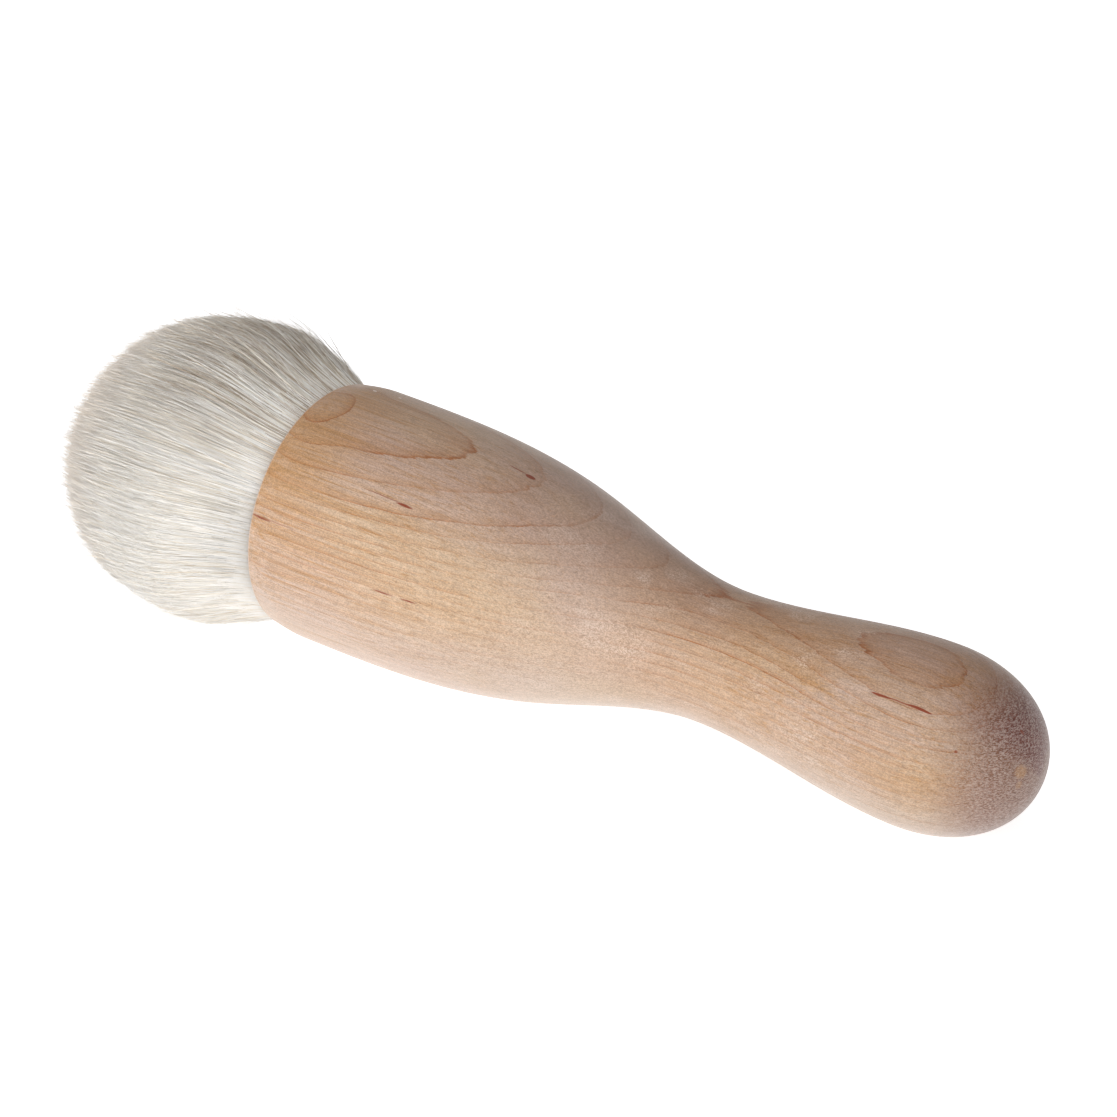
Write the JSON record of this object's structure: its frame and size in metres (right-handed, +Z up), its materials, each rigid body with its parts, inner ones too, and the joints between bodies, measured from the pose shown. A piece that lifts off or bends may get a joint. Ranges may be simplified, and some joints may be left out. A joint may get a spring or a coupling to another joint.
{
  "type": "kabuki makeup brush",
  "caption": "Kabuki makeup brush lying on its side: a soft round dome of pale hair, tied and glued straight into the mouth of a waisted, lathe-turned wooden handle.",
  "frame": {"origin": "middle of the bounding box, on the table that the lying brush rests on", "axes": "+X along the brush towards the tail of the handle, +Y across it, +Z up from the table"},
  "size_m": [0.1462, 0.0426, 0.041],
  "materials": {
    "wood": "bare sanded pale hardwood with fine grain",
    "hair": "natural off-white goat hair",
    "thread": "waxed cotton thread",
    "resin": "hard amber resin",
    "glue": "cured cream glue"
  },
  "bodies": {
    "root": {"handle": "wood", "hair_head": "hair", "binding_thread": "thread", "root_seal": "resin", "glue_bed": "glue"}
  },
  "joints": []
}
